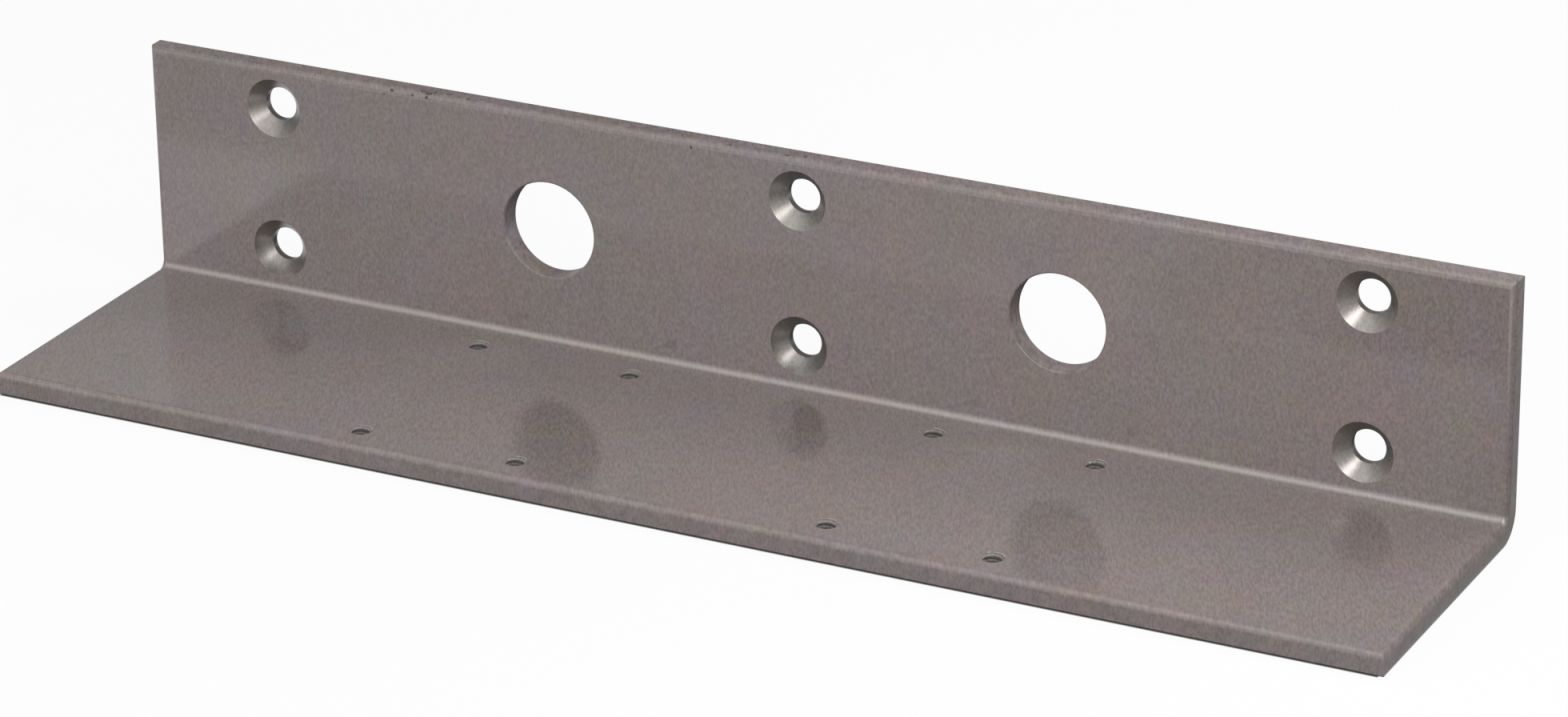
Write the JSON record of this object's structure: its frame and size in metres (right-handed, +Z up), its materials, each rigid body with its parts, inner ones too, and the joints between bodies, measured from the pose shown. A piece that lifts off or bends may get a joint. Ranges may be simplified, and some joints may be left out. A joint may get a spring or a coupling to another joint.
{
  "type": "door closer angle bracket",
  "caption": "Thick folded steel angle with countersunk screw holes, large clearance holes and tapped holes, for carrying a door closer on a door head.",
  "frame": {"origin": "middle of the footprint, at the underside of the level leg", "axes": "+X along the bracket, +Y towards the door head, out of the upright leg's back face, +Z up along the upright leg"},
  "size_m": [0.3112, 0.0698, 0.0556],
  "materials": {
    "enamelled_steel": "satin metallic enamel, warm grey"
  },
  "bodies": {
    "root": {"angle_bracket": "enamelled_steel"}
  },
  "joints": []
}
